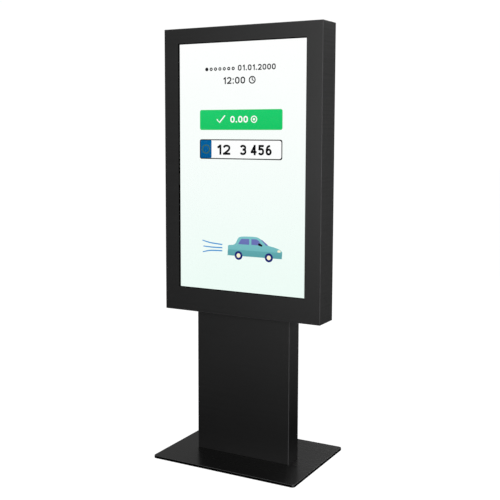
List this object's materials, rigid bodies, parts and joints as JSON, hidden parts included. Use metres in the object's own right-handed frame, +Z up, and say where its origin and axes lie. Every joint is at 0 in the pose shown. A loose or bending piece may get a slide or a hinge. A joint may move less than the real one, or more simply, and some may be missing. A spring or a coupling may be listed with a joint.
{
  "type": "parking display stele",
  "caption": "Free-standing portrait display stele for a car park: lit screen in a flat steel head, box column and base plate, rear service doors.",
  "frame": {"origin": "centre of the base plate's underside, on the floor", "axes": "+Z up, -Y towards the driver who reads the screen, +X to that driver's right"},
  "size_m": [0.65, 0.44, 1.617],
  "materials": {
    "plate_paint": "satin black powder coat, fine texture",
    "housing_paint": "satin black powder coat, fine texture",
    "mast_paint": "satin black powder coat",
    "zinc_steel": "bright zinc plating",
    "galvanised": "galvanised sheet steel, dull spangle",
    "black_rubber": "matt cellular rubber",
    "cover_glass": "clear laminated glass, anti-reflective",
    "lit_screen": null,
    "display_frame": "matt black steel frame",
    "white_film": "white diffusing film",
    "black_anodised": "black anodised, ribbed",
    "button_steel": "brushed",
    "psu_case": "pressed and punched sheet",
    "circuit_board": "green solder mask with black connectors",
    "grey_plastic": "light grey moulding",
    "blue_plastic": "blue moulding",
    "fan_plastic": "black moulding",
    "rotor_plastic": "black moulding",
    "red_plastic": "red moulding",
    "terminal_grey": "grey moulding with steel clamps",
    "gland_plastic": "black moulding",
    "cable_black": "satin cable sheath",
    "cable_red": "satin cable sheath",
    "cable_blue": "satin wire insulation",
    "hinge_steel": "dark zinc plating",
    "lock_zinc": "chromed zinc casting",
    "filter_fleece": "white filter fleece"
  },
  "bodies": {
    "stele": {"base_plate": "plate_paint", "column_shell": "housing_paint", "column_frame": "housing_paint", "shell_screws": "zinc_steel", "masts": "mast_paint", "mast_top_plate": "mast_paint", "head_bolts": "zinc_steel", "head_nuts": "zinc_steel", "head_floor_plate": "galvanised", "head_housing": "housing_paint", "head_frame": "housing_paint", "window_gasket": "black_rubber", "cover_glass": "cover_glass", "glass_clamps": "galvanised", "clamp_nuts": "zinc_steel", "lcd_foam_seal": "black_rubber", "lcd_bezel": "display_frame", "lcd_cell": "lit_screen", "backlight_diffuser": "white_film", "lcd_tray": "galvanised", "display_rails": "galvanised", "rail_screws": "zinc_steel", "equipment_plate": "galvanised", "media_player": "black_anodised", "power_supply": "psu_case", "driver_board": "circuit_board", "thermostat": "grey_plastic", "fan_bracket": "galvanised", "left_fan_frame": "fan_plastic", "right_fan_frame": "fan_plastic", "distribution_plate": "galvanised", "din_rail": "galvanised", "circuit_breaker": "grey_plastic", "surge_protector": "red_plastic", "terminal_blocks": "terminal_grey", "cable_glands": "gland_plastic", "riser_cable": "cable_black", "display_cable": "cable_black", "supply_cable": "cable_red", "fan_leads": "cable_black", "column_wires": "cable_blue", "fixed_hinge_leaves": "hinge_steel", "hinge_pins": "hinge_steel"},
    "rear_door": {"rear_door": "housing_paint", "rear_door_gasket": "black_rubber", "rear_door_hinge_leaves": "hinge_steel", "rear_lock_barrels": "lock_zinc", "intake_filter": "filter_fleece", "exhaust_mesh": "galvanised"},
    "upper_lock": {"upper_lock": "lock_zinc"},
    "lower_lock": {"lower_lock": "lock_zinc"},
    "pedestal_door": {"pedestal_door": "housing_paint", "pedestal_door_hinge_leaves": "hinge_steel", "pedestal_lock_barrel": "lock_zinc"},
    "pedestal_lock": {"pedestal_lock": "lock_zinc"},
    "player_button": {"player_button": "button_steel"},
    "thermostat_knob": {"thermostat_knob": "blue_plastic"},
    "left_fan_rotor": {"left_fan_rotor": "rotor_plastic"},
    "right_fan_rotor": {"right_fan_rotor": "rotor_plastic"},
    "breaker_lever": {"breaker_lever": "blue_plastic"}
  },
  "joints": [
    {"name": "rear_door_hinge", "type": "hinge", "parent": "stele", "child": "rear_door", "pos_m": [-0.3195, 0.037, 1.0845], "axis": [0, 0, 1], "range_deg": [0, 110]},
    {"name": "upper_lock_turn", "type": "hinge", "parent": "rear_door", "child": "upper_lock", "pos_m": [0.275, 0.025, 1.397], "axis": [0, -1, 0], "range_deg": [0, 90]},
    {"name": "lower_lock_turn", "type": "hinge", "parent": "rear_door", "child": "lower_lock", "pos_m": [0.275, 0.025, 0.772], "axis": [0, -1, 0], "range_deg": [0, 90]},
    {"name": "pedestal_door_hinge", "type": "hinge", "parent": "stele", "child": "pedestal_door", "pos_m": [-0.1895, 0.031, 0.281], "axis": [0, 0, 1], "range_deg": [0, 110]},
    {"name": "pedestal_lock_turn", "type": "hinge", "parent": "pedestal_door", "child": "pedestal_lock", "pos_m": [0.151, 0.02, 0.3], "axis": [0, -1, 0], "range_deg": [0, 90]},
    {"name": "player_button_press", "type": "slide", "parent": "stele", "child": "player_button", "axis": [0, -1, 0], "range_m": [0, 0.0015], "stiffness_N_per_m": 400, "springref_m": -0.001},
    {"name": "thermostat_dial", "type": "hinge", "parent": "stele", "child": "thermostat_knob", "pos_m": [0.12, 0.014, 1.01], "axis": [0, 1, 0], "range_deg": [0, 270]},
    {"name": "left_fan_spin", "type": "hinge", "parent": "stele", "child": "left_fan_rotor", "pos_m": [-0.075, 0.008, 1.467], "axis": [0, 1, 0], "continuous": true},
    {"name": "right_fan_spin", "type": "hinge", "parent": "stele", "child": "right_fan_rotor", "pos_m": [0.075, 0.008, 1.467], "axis": [0, 1, 0], "continuous": true},
    {"name": "breaker_switch", "type": "hinge", "parent": "stele", "child": "breaker_lever", "pos_m": [-0.062, 0.0015, 0.33], "axis": [1, 0, 0], "range_deg": [-80, 0]}
  ]
}
